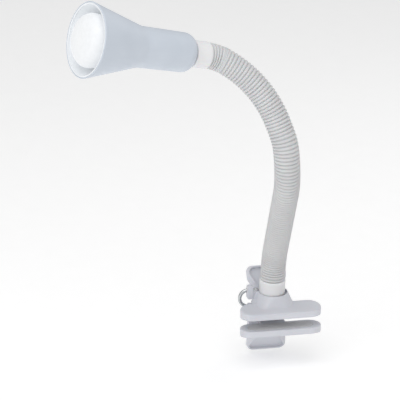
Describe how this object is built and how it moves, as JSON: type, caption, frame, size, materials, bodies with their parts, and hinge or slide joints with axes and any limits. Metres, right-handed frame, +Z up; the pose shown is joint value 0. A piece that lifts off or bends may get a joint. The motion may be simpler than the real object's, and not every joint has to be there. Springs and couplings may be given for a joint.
{
  "type": "clip-on reading lamp",
  "caption": "Clip-on reading lamp: wide sprung shelf clip with finger levers, ribbed flexible neck and a flared shade round a reflector lamp.",
  "frame": {"origin": "centre of the upper jaw's pad face, which lies on the shelf", "axes": "+Z up, +X along the jaws, -Y out over the shelf, so that the finger levers point to +Y"},
  "size_m": [0.2614, 0.1766, 0.4005],
  "materials": {
    "clip_plastic": "moulded white plastic, satin, faint cool tint",
    "pad_rubber": "soft pale grey rubber",
    "spring_steel": "bright drawn spring wire",
    "cuff_plastic": "smooth satin white",
    "gland_plastic": "satin white",
    "zinc_steel": "zinc plated",
    "shade_enamel": "smooth white enamel with a cool tint",
    "holder_plastic": "heat-resistant white moulding",
    "holder_ceramic": "unglazed white",
    "contact_brass": "plain",
    "lamp_glass": "frosted face over a silvered reflector",
    "lamp_cap": "rolled thread",
    "lamp_insulator": "black glass",
    "stem_glass": "clear",
    "filament_wire": "fine wire",
    "hose_plastic": "corrugated white sleeve, satin",
    "neck_steel": "wound gooseneck",
    "cable_pvc": "white flex"
  },
  "bodies": {
    "clip": {"upper_jaw": "clip_plastic", "upper_pad": "pad_rubber", "hinge_pin": "spring_steel", "pin_clips": "spring_steel", "clip_spring": "spring_steel", "cord_gland": "gland_plastic", "base_cuff": "cuff_plastic", "base_nipple": "zinc_steel", "collar_washer": "zinc_steel", "collar_nut": "zinc_steel", "cuff_nut": "zinc_steel", "hose_link_0": "hose_plastic", "core_link_0": "neck_steel", "cable_link_0": "cable_pvc"},
    "lower_jaw": {"lower_jaw": "clip_plastic", "lower_pad": "pad_rubber"},
    "neck_1": {"hose_bend_1": "hose_plastic", "core_bend_1": "neck_steel", "cable_bend_1": "cable_pvc", "hose_link_1": "hose_plastic", "core_link_1": "neck_steel", "cable_link_1": "cable_pvc"},
    "neck_2": {"hose_bend_2": "hose_plastic", "core_bend_2": "neck_steel", "cable_bend_2": "cable_pvc", "hose_link_2": "hose_plastic", "core_link_2": "neck_steel", "cable_link_2": "cable_pvc"},
    "neck_3": {"hose_bend_3": "hose_plastic", "core_bend_3": "neck_steel", "cable_bend_3": "cable_pvc", "hose_link_3": "hose_plastic", "core_link_3": "neck_steel", "cable_link_3": "cable_pvc"},
    "head": {"hose_bend_4": "hose_plastic", "core_bend_4": "neck_steel", "cable_bend_4": "cable_pvc", "hose_link_4": "hose_plastic", "core_link_4": "neck_steel", "cable_link_4": "cable_pvc", "head_cuff": "cuff_plastic", "head_nipple": "zinc_steel", "head_nut": "zinc_steel", "shade": "shade_enamel", "holder_cap": "holder_plastic", "holder_body": "holder_plastic", "contact_base": "holder_ceramic", "thread_shell": "contact_brass", "shell_foot": "holder_plastic", "end_contact": "contact_brass", "terminal_screws": "zinc_steel", "bulb_contact": "lamp_cap", "bulb_insulator": "lamp_insulator", "bulb_cap": "lamp_cap", "bulb_glass": "lamp_glass", "bulb_stem": "stem_glass", "bulb_filament": "filament_wire"}
  },
  "joints": [
    {"name": "jaw_open", "type": "hinge", "parent": "clip", "child": "lower_jaw", "pos_m": [-0.0043, 0.03, -0.005], "axis": [1, 0, 0], "range_deg": [-12, 28], "stiffness_Nm_per_rad": 0.9, "deforming": ["clip_spring"]},
    {"name": "neck_lean", "type": "hinge", "parent": "clip", "child": "neck_1", "pos_m": [-0.0042, 0.01276, 0.0541], "axis": [1, 0, 0], "range_deg": [-35, 30], "deforming": ["hose_bend_1", "core_bend_1", "cable_bend_1"]},
    {"name": "neck_sway", "type": "hinge", "parent": "neck_1", "child": "neck_2", "pos_m": [-0.01138, -0.06719, 0.16541], "axis": [0, 1, 0], "range_deg": [-35, 35], "deforming": ["hose_bend_2", "core_bend_2", "cable_bend_2"]},
    {"name": "neck_bow", "type": "hinge", "parent": "neck_2", "child": "neck_3", "pos_m": [-0.0156, -0.07241, 0.20083], "axis": [-0.6819, -0.7227, -0.1128], "range_deg": [-35, 35], "deforming": ["hose_bend_3", "core_bend_3", "cable_bend_3"]},
    {"name": "head_turn", "type": "hinge", "parent": "neck_3", "child": "head", "pos_m": [-0.07891, -0.05591, 0.2824], "axis": [0.3623, 0.0317, 0.9315], "range_deg": [-35, 35], "deforming": ["hose_bend_4", "core_bend_4", "cable_bend_4"]}
  ]
}
